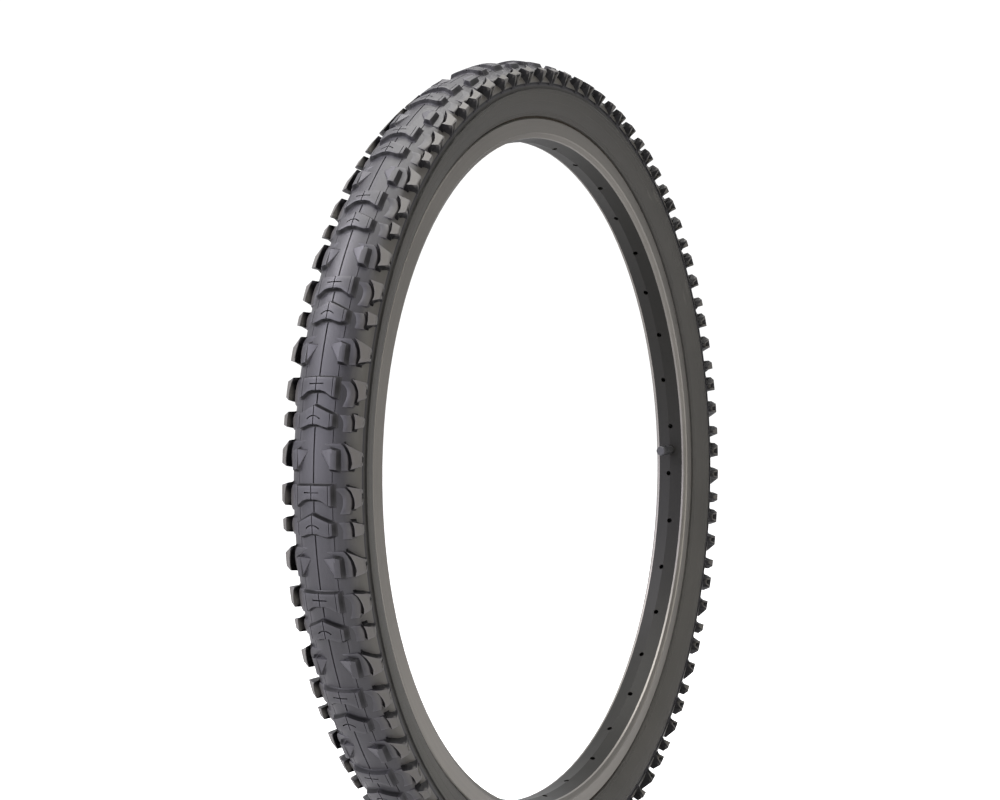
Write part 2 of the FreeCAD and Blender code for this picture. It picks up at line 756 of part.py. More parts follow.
def make_valve():
    foot = "Dim.stem_foot_radius"
    floor = minus("Dim.patch_thickness")
    turned_valve_part(
        "valve_stem",
        [
            ("Dim.stem_throat", floor),
            (foot, floor),
            (foot, "0.4"),
            ("Dim.stem_radius", "1.2"),
            ("Dim.stem_radius", "Dim.thread_start"),
            ("Dim.thread_radius", "Dim.thread_start"),
            ("Dim.thread_radius", "Dim.stem_length - 0.5"),
            ("Dim.thread_radius - 0.5", "Dim.stem_length"),
            ("Dim.stem_bore + 0.2", "Dim.stem_length"),
            ("Dim.stem_bore", "Dim.stem_length - 0.3"),
            ("Dim.stem_bore", "Dim.throat_end"),
            ("Dim.stem_throat", "Dim.throat_end - 1"),
        ],
    )
    turned_valve_part(
        "valve_stem_rubber",
        [
            ("Dim.stem_radius", "1.3"),
            ("Dim.rubber_radius", "0.8"),
            ("Dim.rubber_radius", "Dim.thread_start - 0.5"),
            ("Dim.rubber_radius - 0.4", "Dim.thread_start - 0.05"),
            ("Dim.stem_radius", "Dim.thread_start - 0.05"),
        ],
    )
    ring_low, ring_high = "Dim.core_ring_start", "Dim.core_ring_start + Dim.core_ring_length"
    groove = "Dim.core_body_radius - Dim.core_ring_depth"
    turned_valve_part(
        "valve_core_body",
        [
            ("Dim.pin_guide", "Dim.core_start"),
            ("Dim.core_body_radius - 0.5", "Dim.core_start"),
            ("Dim.core_body_radius", "Dim.core_start + 0.8"),
            ("Dim.core_body_radius", ring_low),
            (groove, ring_low),
            (groove, ring_high),
            ("Dim.core_body_radius", ring_high),
            ("Dim.core_body_radius", "Dim.core_end"),
            ("Dim.core_chamber", "Dim.core_end"),
            ("Dim.core_chamber", "Dim.core_floor"),
            ("Dim.pin_guide", "Dim.core_floor"),
        ],
    )
    turned_valve_part(
        "valve_core_seal",
        [
            (groove, ring_low),
            ("Dim.stem_bore", ring_low),
            ("Dim.stem_bore", ring_high),
            (groove, ring_high),
        ],
    )
    turned_valve_part(
        "valve_pin",
        [
            ("0", "Dim.pin_start"),
            ("Dim.pin_radius", "Dim.pin_start"),
            ("Dim.pin_radius", "Dim.pin_head_start"),
            ("Dim.pin_head", "Dim.pin_head_start"),
            ("Dim.pin_head", "Dim.pin_head_start + 0.9"),
            ("Dim.pin_radius", "Dim.pin_head_start + 1.3"),
            ("Dim.pin_radius", "Dim.pin_end"),
            ("0", "Dim.pin_end"),
        ],
    )
    turned_valve_part(
        "valve_plunger_seal",
        [
            ("0", "Dim.seal_start"),
            ("Dim.seal_radius", "Dim.seal_start"),
            ("Dim.seal_radius", "Dim.core_start - 0.05"),
            ("Dim.pin_radius", "Dim.core_start - 0.05"),
            ("Dim.pin_radius", "Dim.pin_start"),
            ("0", "Dim.pin_start"),
        ],
    )
    make_valve_spring()
    make_valve_cap()


def make_valve_spring():
    """The coil between the core's floor and the pin's head, which holds the valve shut."""
    low = "(Dim.core_floor + Dim.spring_wire + 0.05)"
    high = "(Dim.pin_head_start - Dim.spring_wire - 0.05)"
    body = new_body("valve_core_spring")
    wire = new_valve_sketch(body, "wire_section")
    draw_circle(wire, "Dim.spring_wire", ("Dim.spring_coil", low))
    coil = body.newObject("PartDesign::AdditiveHelix", "coil")
    coil.Profile = wire
    coil.ReferenceAxis = (wire, ["V_Axis"])
    coil.Mode = 2
    coil.setExpression("Height", f"{high} - {low}")
    coil.setExpression("Turns", "Dim.spring_turns")
    body.Placement = VALVE_PLACE


def make_valve_cap():
    cap = turned_valve_part(
        "valve_cap",
        [
            ("Dim.cap_bore", "Dim.cap_start"),
            ("Dim.cap_radius", "Dim.cap_start"),
            ("Dim.cap_radius", "Dim.cap_end - 0.8"),
            ("Dim.cap_radius - 0.8", "Dim.cap_end"),
            ("0", "Dim.cap_end"),
            ("0", "Dim.cap_inside_end"),
            ("Dim.cap_bore", "Dim.cap_inside_end"),
        ],
    )
    rib = new_sketch(cap, "rib_circle")
    rib.AttachmentOffset = FreeCAD.Placement(
        FreeCAD.Vector(0, 0, value("Dim.cap_start + 1")), FreeCAD.Rotation()
    )
    draw_circle(rib, "Dim.cap_rib_radius", ("Dim.cap_radius", "0"))
    ridge = padded(cap, "rib", rib, "Dim.cap_end - Dim.cap_start - 2.4")
    pattern = patterned(cap, "all_ribs", [ridge], "Dim.cap_ribs")
    pattern.Axis = (next(f for f in cap.Origin.OriginFeatures if f.Role == "Z_Axis"), [""])
    turned_valve_part(
        "valve_cap_seal",
        [
            ("0", "Dim.cap_inside_end - Dim.cap_seal"),
            ("Dim.cap_bore - 0.1", "Dim.cap_inside_end - Dim.cap_seal"),
            ("Dim.cap_bore - 0.1", "Dim.cap_inside_end"),
            ("0", "Dim.cap_inside_end"),
        ],
    )


# ---- build, check, write -------------------------------------------------------------------------


def failed(item):
    return [word for word in item.State if word in ("Invalid", "Error")]


def main():
    make_outer_ply()
    make_inner_ply()
    for side_name, side in (("left", 1), ("right", -1)):
        make_sidewall(f"sidewall_{side_name}", side)
        make_chafer(f"chafer_{side_name}", side)
        make_bead_wire(f"bead_wire_{side_name}", side)
    make_rim()
    make_rim_sleeve()
    make_rim_strip()
    make_tube_and_patch()
    make_valve()
    make_tread()
    doc.recompute()

    faults = [f"{item.Label}: {failed(item)}" for item in doc.Objects if failed(item)]
    for part in SUBPARTS:
        if part.Shape.isNull() or not part.Shape.isValid():
            faults.append(f"{part.Label}: bad shape")
    if faults:
        raise SystemExit("\n".join(faults))

    os.makedirs("parts", exist_ok=True)
    for part in SUBPARTS:
        part.Shape.exportStep(f"parts/{part.Label}.step")
        print(f"{part.Label:20s} {len(part.Shape.Solids)} solid  {part.Shape.Volume / 1000:9.3f} cm3")


main()
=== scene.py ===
"""Knobbly bicycle tire on its drilled rim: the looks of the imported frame.

Lengths in the shape code are millimetres. The wheel turns about Y, its centre is the origin and +Z is up.
A point of the tread is (t, y, r): t along the tire from a knob's own angle, y sideways, r out from the axle.
"""
import json
import math

import bmesh
import bpy
import numpy as np
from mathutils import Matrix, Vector


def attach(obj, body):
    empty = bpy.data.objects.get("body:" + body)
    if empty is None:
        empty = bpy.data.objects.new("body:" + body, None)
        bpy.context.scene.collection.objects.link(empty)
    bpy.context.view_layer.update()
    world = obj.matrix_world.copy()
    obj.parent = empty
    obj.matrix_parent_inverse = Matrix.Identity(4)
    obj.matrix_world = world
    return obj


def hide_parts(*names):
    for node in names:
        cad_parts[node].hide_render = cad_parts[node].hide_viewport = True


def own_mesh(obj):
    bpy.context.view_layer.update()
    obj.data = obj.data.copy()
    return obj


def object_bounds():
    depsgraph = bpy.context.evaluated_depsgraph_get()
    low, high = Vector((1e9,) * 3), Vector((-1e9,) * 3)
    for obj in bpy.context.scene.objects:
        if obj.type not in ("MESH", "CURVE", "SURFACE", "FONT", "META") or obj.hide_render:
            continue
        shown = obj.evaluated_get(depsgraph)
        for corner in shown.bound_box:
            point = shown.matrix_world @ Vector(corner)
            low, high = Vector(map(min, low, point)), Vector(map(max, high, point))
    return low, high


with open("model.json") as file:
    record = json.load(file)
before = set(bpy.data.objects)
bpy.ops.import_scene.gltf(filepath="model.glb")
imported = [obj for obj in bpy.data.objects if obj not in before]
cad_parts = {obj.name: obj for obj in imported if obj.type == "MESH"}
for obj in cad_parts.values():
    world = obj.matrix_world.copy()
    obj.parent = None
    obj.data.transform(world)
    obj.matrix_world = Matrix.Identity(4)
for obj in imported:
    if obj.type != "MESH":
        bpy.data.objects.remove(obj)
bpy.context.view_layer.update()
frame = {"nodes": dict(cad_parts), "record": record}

MM = 0.001
PITCHES = 30
PITCH = math.tau / PITCHES

# ---- the tire's section ------------------------------------------------------------------------------

CROWN_CENTRE, CROWN_ARC = np.array((295.2, 0.0)), 34.0
SIDE_ARC, FLANK_ARC = 17.0, 40.0
CROWN_TURN, SIDE_TURN, EDGE_TURN = 32.0, 100.0, 88.0
# the furthest place out at which the surface still has a radius straight under it
SHOULDER_LIMIT = 25.5
BLOCK_CENTRE, BLOCK_ARC = 292.3, 40.0
SKIN_THICKNESS = 1.6


def ray(turn):
    """The outward direction (r, y) at a turn from the crown, in degrees."""
    return np.array((math.cos(math.radians(turn)), math.sin(math.radians(turn))))


SIDE_CENTRE = CROWN_CENTRE + (CROWN_ARC - SIDE_ARC) * ray(CROWN_TURN)
FLANK_CENTRE = SIDE_CENTRE + (SIDE_ARC - FLANK_ARC) * ray(SIDE_TURN)


def skin(turn, height=0.0):
    """The (r, y) of the tire's outer surface at a turn, raised by a height."""
    if turn <= CROWN_TURN:
        centre, arc = CROWN_CENTRE, CROWN_ARC
    elif turn <= SIDE_TURN:
        centre, arc = SIDE_CENTRE, SIDE_ARC
    else:
        centre, arc = FLANK_CENTRE, FLANK_ARC
    return centre + (arc + height) * ray(turn)


def turn_of(r, y):
    """The turn at which a point stands over the surface, for points over the crown or shoulder."""
    turn = math.degrees(math.atan2(abs(y), r - CROWN_CENTRE[0]))
    if turn > CROWN_TURN:
        turn = math.degrees(math.atan2(abs(y) - SIDE_CENTRE[1], r - SIDE_CENTRE[0]))
    return turn


def skin_radius(y, height=0.0):
    """The surface's radius straight under a place on the crown or shoulder."""
    y = min(abs(y), SHOULDER_LIMIT)
    edge = CROWN_ARC * ray(CROWN_TURN)[1]
    if y < edge:
        return CROWN_CENTRE[0] + math.sqrt((CROWN_ARC + height) ** 2 - y * y)
    return SIDE_CENTRE[0] + math.sqrt((SIDE_ARC + height) ** 2 - (y - SIDE_CENTRE[1]) ** 2)


def turn_under(y):
    """The turn of the surface straight under a place on the shoulder."""
    return math.degrees(math.asin((y - SIDE_CENTRE[1]) / SIDE_ARC))


def block_radius(y):
    """The radius of the centre blocks' tops, which follow one arc across the tire."""
    return BLOCK_CENTRE + math.sqrt(BLOCK_ARC ** 2 - y * y)


# ---- mesh helpers ------------------------------------------------------------------------------------


def set_piece(name, mesh, replaced=(), body="wheel", sharp=32.0):
    """Put a finished mesh in the scene as a piece of a CAD body."""
    mesh.validate()
    piece = bpy.data.objects.new(name, mesh)
    bpy.context.scene.collection.objects.link(piece)
    mesh.shade_smooth()
    mesh.set_sharp_from_angle(angle=math.radians(sharp))
    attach(piece, body)
    if replaced:
        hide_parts(*replaced)
    return piece


def mesh_from(name, verts, faces):
    """A mesh from points in its own units and faces of point numbers."""
    mesh = bpy.data.meshes.new(name)
    mesh.from_pydata([tuple(v) for v in verts], [], faces)
    mesh.update()
    return mesh


def around_wheel(points, angle):
    """Move (t, y, r) points to an angle from the top, in metres."""
    t, y, r = np.asarray(points, float).T
    x, z = t * math.cos(angle) + r * math.sin(angle), -t * math.sin(angle) + r * math.cos(angle)
    return np.stack((x, y, z), 1) * MM


def repeated(name, verts, faces):
    """One pitch's (t, y, r) points and faces, copied to every pitch round the wheel."""
    verts = np.asarray(verts, float)
    every = np.concatenate([around_wheel(verts, PITCH * k) for k in range(PITCHES)])
    count = len(verts)
    all_faces = [tuple(i + count * k for i in face) for k in range(PITCHES) for face in faces]
    return mesh_from(name, every, all_faces)


def lathe(name, profile, steps):
    """A closed section of (r, y) points turned about the wheel's axis."""
    profile = np.asarray(profile, float)
    count = len(profile)
    r, y = profile.T
    verts = []
    for k in range(steps):
        a = math.tau * k / steps
        verts.append(np.stack((r * math.sin(a), y, r * math.cos(a)), 1))
    faces = []
    for k in range(steps):
        here, there = k * count, (k + 1) % steps * count
        for i in range(count):
            j = (i + 1) % count
            faces.append((here + i, here + j, there + j, there + i))
    return mesh_from(name, np.concatenate(verts) * MM, faces)


class Pitch:
    """The points and faces of one pitch, gathered as (t, y, r) at the wheel's top."""

    def __init__(self):
        self.verts, self.faces = [], []

    def add(self, points, faces, angle=0.0, mirror=False):
        """Add a knob drawn on the +Y side at its own angle, or its mirror image."""
        points = np.array(points, float)
        if mirror:
            points[:, 1] *= -1
            faces = [face[::-1] for face in faces]
        angle = math.radians(angle)
        t, y, r = points.T
        turned = np.stack(
            (t * math.cos(angle) + r * math.sin(angle), y, r * math.cos(angle) - t * math.sin(angle)), 1
        )
        first = len(self.verts)
        self.verts.extend(turned)
        self.faces.extend(tuple(first + i for i in face) for face in faces)


def grid_faces(rows, columns):
    """Quads of a grid whose point (i, j) has the number i * columns + j."""
    return [
        (i * columns + j, i * columns + j + 1, (i + 1) * columns + j + 1, (i + 1) * columns + j)
        for i in range(rows - 1)
        for j in range(columns - 1)
    ]


def rim_of_grid(rows, columns):
    """The numbers of a grid's outer points, in order round it."""
    return (
        [j for j in range(columns)]
        + [i * columns + columns - 1 for i in range(1, rows)]
        + [(rows - 1) * columns + j for j in range(columns - 2, -1, -1)]
        + [i * columns for i in range(rows - 2, 0, -1)]
    )


def offset_directions(outline):
    """For each point of a closed (a, b) outline, the way out, scaled so that sides stay parallel."""
    outline = np.asarray(outline, float)
    ahead = np.roll(outline, -1, 0) - outline
    ahead /= np.linalg.norm(ahead, axis=1)[:, None]
    back = np.roll(ahead, 1, 0)
    area = np.sum(outline[:, 0] * np.roll(outline[:, 1], -1) - np.roll(outline[:, 0], -1) * outline[:, 1])
    side = 1.0 if area > 0 else -1.0
    normal_a, normal_b = side * ahead[:, [1, 0]] * (1, -1), side * back[:, [1, 0]] * (1, -1)
    both = normal_a + normal_b
    both /= np.linalg.norm(both, axis=1)[:, None]
    return both / np.maximum(np.sum(both * normal_a, 1), 0.45)[:, None]


TOP_INSET = 0.4
# ring: how far out from the top's outline, then how far under the top or over the tire's skin
BLOCK_RINGS = (
    (-0.12, "top", 0.1),
    (0.0, "top", 0.4),
    (0.8, "skin", 1.0),
    (1.1, "skin", 0.3),
    (1.5, "skin", -0.1),
    (1.6, "skin", -0.7),
)


def draped_block(outline_grid, rows, columns, top, rings=BLOCK_RINGS):
    """A block whose top is a grid of (t, y) places and whose skirt runs down into the tire's skin."""
    places = np.array(outline_grid, float)
    loop = rim_of_grid(rows, columns)
    outline = places[loop]
    away = offset_directions(outline)
    places[loop] -= TOP_INSET * away
    points = [(t, y, top(t, y)) for t, y in places]
    faces = grid_faces(rows, columns)
    before = loop
    for out, kind, amount in rings:
        ring = outline + out * away
        first = len(points)
        for t, y in ring:
            height = top(t, y) - amount if kind == "top" else skin_radius(y, amount)
            points.append((t, y, height))
        now = list(range(first, first + len(loop)))
        for k in range(len(loop)):
            n = (k + 1) % len(loop)
            faces.append((before[k], now[k], now[n], before[n]))
        before = now
    faces.append(tuple(before))
    return points, faces


def interpolated(table, x):
    """The value at x on straight runs between the (x, value) pairs of a table."""
    xs, ys = zip(*table)
    return float(np.interp(x, xs, ys))


def across_block(lead, trail, columns_at, rows=5):
    """The (t, y) places of a centre block's top, from its leading to its trailing edge."""
    places = []
    for i in range(rows):
        share = i / (rows - 1)
        for y in columns_at:
            start, end = interpolated(lead, abs(y)), interpolated(trail, abs(y))
            places.append((start + (end - start) * share, y))
    return places, rows, len(columns_at)


# ---- cuts in the blocks ------------------------------------------------------------------------------


def slot_cut(line, width, depth):
    """A thin upright slab along a line of (t, y) places, deep enough to cut a groove in a block's top."""
    line = np.asarray(line, float)
    ahead = np.gradient(line, axis=0)
    ahead /= np.linalg.norm(ahead, axis=1)[:, None]
    aside = ahead[:, [1, 0]] * (1, -1) * width / 2
    points, count = [], len(line)
    for (t, y), (at, ay) in zip(line, aside):
        top = block_radius(y)
        for sign in (1, -1):
            for radius in (top - depth, top + 3.0):
                points.append((t + sign * at, y + sign * ay, radius))
    faces = [(0, 1, 3, 2)]
    for k in range(count - 1):
        a, b = 4 * k, 4 * k + 4
        faces += [(a, b, b + 1, a + 1), (a + 3, b + 3, b + 2, a + 2)]
        faces += [(a + 1, b + 1, b + 3, a + 3), (a + 2, b + 2, b, a)]
    end = 4 * (count - 1)
    faces.append((end, end + 2, end + 3, end + 1))
    return points, faces


def cut_away(pitch, cutters):
    """Take the cutters' slabs out of the blocks of a pitch."""
    work = bpy.data.objects.new("block_work", mesh_from("block_work", pitch.verts, pitch.faces))
    bpy.context.scene.collection.objects.link(work)
    tools = []
    for number, cutter in enumerate(cutters):
        mesh = mesh_from(f"cutter_{number}", cutter.verts, cutter.faces)
        bm = bmesh.new()
        bm.from_mesh(mesh)
        bmesh.ops.recalc_face_normals(bm, faces=bm.faces)
        bm.to_mesh(mesh)
        bm.free()
        tool = bpy.data.objects.new(f"cutter_{number}", mesh)
        bpy.context.scene.collection.objects.link(tool)
        cut = work.modifiers.new(f"cut_{number}", "BOOLEAN")
        cut.object, cut.operation, cut.solver = tool, "DIFFERENCE", "EXACT"
        tools.append(tool)
    bpy.context.view_layer.update()
    result = bpy.data.meshes.new_from_object(work.evaluated_get(bpy.context.evaluated_depsgraph_get()))
    verts = np.array([v.co for v in result.vertices])
    faces = [tuple(p.vertices) for p in result.polygons]
    for item in (work, *tools):
        bpy.data.objects.remove(item)
    return verts, faces


# ---- centre blocks and lugs --------------------------------------------------------------------------

BAR_ANGLE, CHEVRON_ANGLE, LUG_ANGLE, LONG_ANGLE = 4.3, 0.74, 8.0, 8.5
# for the left row and its mirror image: whether it is mirrored, and how far back it sits in degrees
ROWS = ((False, 0.15), (True, 0.5))
BLOCK_HALF = 13.5
BLOCK_COLUMNS = [BLOCK_HALF * k / 12 for k in range(-12, 13)]


def arched_sipe(half, drop):
    """The (t, y) line of a cut across a block, its ends lower than its middle."""
    return [(-drop * (y / half) ** 2, y) for y in np.linspace(-half, half, 9)]


def make_centre_blocks():
    """The bar and the chevron of each pitch, with a middle slot, a sipe and a fine line at each end."""

    def top(_, y):
        return block_radius(y)

    blocks, middle, sipes, ends = Pitch(), Pitch(), Pitch(), Pitch()
    shapes = {
        "bar": (
            BAR_ANGLE,
            [(0, 4.4), (14.6, 4.2)],
            [(0, -4.2), (3.5, -4.3), (7.0, -5.2), (11.0, -7.9), (12.4, -8.4), (14.6, -8.2)],
            (5.6, 0.0),
        ),
        "chevron": (
            CHEVRON_ANGLE,
            [(0, 6.6), (1.2, 6.1), (14.6, 0.2)],
            [(0, -5.4), (3.5, -5.8), (7.0, -7.0), (10.0, -7.7), (12.5, -7.0), (14.6, -5.9)],
            (5.0, 2.2),
        ),
    }
    for angle, lead, trail, (sipe_half, sipe_drop) in shapes.values():
        places, rows, columns = across_block(lead, trail, BLOCK_COLUMNS)
        blocks.add(*draped_block(places, rows, columns, top), angle)
        middle.add(*slot_cut([(12.0, 0.0), (-12.0, 0.0)], 0.75, 1.3), angle)
        sipes.add(*slot_cut(arched_sipe(sipe_half, sipe_drop), 0.8, 1.9), angle)
        for side in (1, -1):
            ends.add(*slot_cut([(12.0, side * 11.6), (-12.0, side * 11.6)], 0.45, 0.5), angle)
    verts, faces = cut_away(blocks, (middle, sipes, ends))
    mesh = repeated("centre_blocks", verts, faces)
    return set_piece("centre_blocks", mesh, ["tread"], sharp=28.0)


LUG_INNER, LUG_OUTER = 12.55, 16.75
# a lug's greatest radius, and the place out from which its top slopes down
LUG_HEIGHT, LUG_CREST = 330.0, 12.6
LUG_SLOPE = math.tan(math.radians(14.0))


def make_lugs():
    """The two lugs of a pitch, each with a ramp that narrows along its inner side."""

    def top(_, y):
        return min(LUG_HEIGHT - (abs(y) - LUG_CREST) * LUG_SLOPE, block_radius(y))

    pitch = Pitch()
    lead = [(12.5, 6.5), (16.8, 5.2)]
    trail = [(12.5, -6.5), (16.8, -7.0)]
    places, rows, columns = across_block(lead, trail, list(np.linspace(LUG_INNER, LUG_OUTER, 6)), 9)
    # the ramp's corners (t, y, height): at the lug's leading corner, on the crown, at its trailing corner
    ramp = [(6.2, 13.2, 3.4), (5.3, 5.4, 0.25), (4.4, 5.6, 0.15)]
    ramp += [(-6.4, 13.0, 2.2), (-6.4, 14.0, 2.2), (6.2, 14.0, 3.4)]
    foot = [(6.7, 13.2), (5.9, 4.4), (4.2, 4.6), (-7.0, 12.6), (-7.0, 14.0), (6.7, 14.0)]
    over = [(t, y, skin_radius(y, height)) for t, y, height in ramp]
    under = [(t, y, skin_radius(y, -0.5)) for t, y in foot]
    n = len(over)
    faces = [tuple(range(n)), tuple(range(2 * n - 1, n - 1, -1))]
    faces += [(k, n + k, n + (k + 1) % n, (k + 1) % n) for k in range(n)]
    for mirror in (False, True):
        pitch.add(*draped_block(places, rows, columns, top), LUG_ANGLE, mirror)
        pitch.add(over + under, faces, LUG_ANGLE, mirror)
    mesh = repeated("side_lugs", pitch.verts, pitch.faces)
    return set_piece("side_lugs", outward(mesh), ["tread"], sharp=28.0)


def outward(mesh):
    """Turn every closed part of a mesh right side out."""
    bm = bmesh.new()
    bm.from_mesh(mesh)
    bmesh.ops.recalc_face_normals(bm, faces=bm.faces)
    bm.to_mesh(mesh)
    bm.free()
    return mesh


# ---- shoulder knobs ----------------------------------------------------------------------------------

TOP_INNER, TOP_TIP = np.array((325.0, 24.6)), np.array((321.3, 30.9))
TOP_WIDTH = float(np.linalg.norm(TOP_TIP - TOP_INNER))


def on_top(u):
    """The (r, y) on a shoulder knob's top plane, u out from its inner line."""
    return TOP_INNER + (TOP_TIP - TOP_INNER) * (u / TOP_WIDTH)


def shoulder_knob(inner_line, tips, feet, hollow):
    """A knob with a flat top, a hollow outer face between two ribs, and walls that flare at the root.

    inner_line is its inner edge as (t, u) places, tips and feet the t of its corners further out.
    """
    shares = (0.0, 0.1, 0.2, 0.3, 0.5, 0.7, 0.8, 0.9, 1.0)
    rib = (0, 0, 0, 1, 1, 1, 0, 0, 0)
    marks = np.linspace(0.0, 1.0, len(inner_line))
    line_t, line_u = zip(*inner_line)
    contour = []
    for share, dished in zip(shares, rib):
        t_in, u_in = np.interp(share, marks, line_t), np.interp(share, marks, line_u)
        t_tip = tips[0] + (tips[1] - tips[0]) * share
        t_foot = feet[0] + (feet[1] - feet[0]) * share
        inner = on_top(u_in)
        root_turn = turn_under(min(inner[1] - 1.3, 24.0))
        root = ((-0.5, 1.5), (0.1, 1.0), (0.7, 0.0))
        column = [(t_in, *skin(root_turn - back, height)) for height, back in root]
        column.append((t_in, *(inner - (0.45, 0.1))))
        for step in (0.04, 0.2, 0.4, 0.6, 0.8, 0.95):
            r, y = inner + (TOP_TIP - inner) * step
            column.append((t_in + (t_tip - t_in) * step, r, y))
        face = [(0.0, 0.5, -0.1), (0.12, 1.6, 0.15), (0.4, 3.6, 1.2), (0.75, 6.4, 3.0), (1.0, 9.6, 4.9)]
        for drop, down, inside in face:
            depth = hollow * dished * (1.0 if 0.1 < drop < 0.9 else 0.0) * (1.25 - drop)
            r = TOP_TIP[0] - down - 0.35 * depth
            y = TOP_TIP[1] - inside - depth
            column.append((t_tip + (t_foot - t_tip) * min(1.0, drop * 1.15), r, y))
        column.append((t_foot, *skin(86.0, -0.6)))
        contour.append(column)
    rows = len(contour[0])

    def wall(column, sign):
        """The side wall that hangs from one edge of the knob, as three more columns."""
        walls = []
        for height, out in ((None, 0.12), (0.9, 0.55), (0.15, 0.95), (-0.5, 1.3)):
            points = []
            for i, (t, r, y) in enumerate(column):
                turn = min(turn_of(r, y), 87.0)
                over = (np.array((r, y)) - skin(turn)) @ ray(turn)
                low = over - 0.45 if height is None else height
                low = min(over, low) if over > -0.4 else over
                if over < 0.3:
                    low = min(over, low)
                points.append((t + sign * out, *skin(turn, low)))
            walls.append(points)
        return walls

    columns = wall(contour[0], 1)[::-1] + contour + wall(contour[-1], -1)
    points = [(t, y, r) for column in columns for t, r, y in column]
    faces = grid_faces(len(columns), rows)
    loop = rim_of_grid(len(columns), rows)
    faces.append(tuple(loop[::-1]))
    return points, faces


def make_shoulder_knobs():
    """The three shoulder knobs of a pitch on both sides of the tire."""
    # each shape: its angle in the pitch, then the arguments of shoulder_knob
    shapes = {
        "square": (
            BAR_ANGLE,
            [(6.6, -1.9), (3.9, 0.6), (0.6, 2.1), (-2.3, 3.0), (-5.1, 3.0), (-7.9, 2.5)],
            (4.9, -5.4),
            (2.6, -2.2),
            2.6,
        ),
        "small": (
            CHEVRON_ANGLE,
            [(4.6, 1.0), (1.9, 1.9), (-1.3, 2.3), (-5.1, 2.2)],
            (2.6, -3.6),
            (0.9, -0.5),
            0.0,
        ),
        "long": (
            LONG_ANGLE,
            [(10.0, -3.9), (6.8, -1.5), (4.0, 0.0), (0.5, 1.0), (-3.0, 1.5), (-6.6, 0.4)],
            (4.2, -4.4),
            (2.2, -2.2),
            2.6,
        ),
    }
    pitch = Pitch()
    for angle, *shape in shapes.values():
        points, faces = shoulder_knob(*shape)
        for mirror, lag in ROWS:
            pitch.add(points, faces, angle - lag, mirror)
    mesh = outward(repeated("shoulder_knobs", pitch.verts, pitch.faces))
    return set_piece("shoulder_knobs", mesh, ["tread"], sharp=30.0)


def make_shoulder_lips():
    """The curved lips between the crown and each shoulder knob, low ramps that end in a step."""
    shapes = {
        "square": (
            BAR_ANGLE,
            [(5.4, 39.0), (2.9, 46.5), (-0.6, 51.0), (-4.6, 51.5), (-8.6, 49.0), (-10.8, 47.5)],
        ),
        "small": (CHEVRON_ANGLE, [(3.8, 45.0), (0.9, 48.0), (-2.1, 49.5), (-6.6, 49.0)]),
        "long": (LONG_ANGLE, [(9.6, 30.3), (6.8, 37.0), (2.8, 42.3), (-1.5, 44.5), (-7.2, 44.5)]),
    }
    pitch = Pitch()
    for angle, edge in shapes.values():
        marks = np.linspace(0.0, 1.0, len(edge))
        edge_t, edge_turn = zip(*edge)
        columns = []
        for share in np.linspace(0.0, 1.0, 13):
            t, turn = np.interp(share, marks, edge_t), np.interp(share, marks, edge_turn)
            rise = 1.7 * math.sin(math.pi * (0.08 + share * 0.84)) ** 0.5
            r, y = skin(turn, rise)
            columns.append(
                [
                    (t, *skin(turn - 19.0, -0.5)),
                    (t, *skin(turn - 17.0, 0.02)),
                    (t, *skin(turn - 9.0, rise * 0.4)),
                    (t, *skin(turn - 2.0, rise * 0.93)),
                    (t, r, y),
                    (t, r - 0.4, y + 0.12),
                    (t, skin_radius(y + 0.35, -0.6), y + 0.35),
                ]
            )
        first, last = columns[0], columns[-1]
        before = [(t + 0.6, *skin(turn_of(r, y), -0.5)) for t, r, y in first]
        after = [(t - 0.6, *skin(turn_of(r, y), -0.5)) for t, r, y in last]
        columns = [before] + columns + [after]
        points = [(t, y, r) for column in columns for t, r, y in column]
        faces = grid_faces(len(columns), len(columns[0]))
        faces.append(tuple(rim_of_grid(len(columns), len(columns[0]))[::-1]))
        for mirror, lag in ROWS:
            pitch.add(points, faces, angle - lag, mirror)
    mesh = outward(repeated("shoulder_lips", pitch.verts, pitch.faces))
    return set_piece("shoulder_lips", mesh, ["tread"], sharp=40.0)


# ---- band and sidewalls ------------------------------------------------------------------------------


def groove(turn, half, depth):
    """The marks of a small V groove at a turn."""
    return [(turn - half, 0.0), (turn - half * 0.3, -depth), (turn + half * 0.3, -depth), (turn + half, 0.0)]


def make_band():
    """The tread's base: a thin ring with the mould's middle groove and two fine lines."""
    right = [(0.95, 0.0)] + [(turn, 0.0) for turn in np.arange(2.5, 20.0, 2.0)]
    right += groove(21.9, 0.55, 0.45)
    right += [(turn, 0.0) for turn in np.arange(24.0, 78.0, 2.0)]
    right += [(79.6, 0.0), (80.2, -0.85), (EDGE_TURN, -0.9)]
    outer = [tuple(skin(turn, height)) for turn, height in right]
    inner = [tuple(skin(turn, -SKIN_THICKNESS)) for turn in np.arange(EDGE_TURN, 2.0, -6.0)]
    profile = [(r, -y) for r, y in reversed(outer)]
    profile += [(328.35, -0.25), (328.35, 0.25)] + outer + inner
    profile += [(r, -y) for r, y in reversed(inner)]
    mesh = outward(lathe("tread_band", profile, 300))
    return set_piece("tread_band", mesh, ["tread"], sharp=20.0)


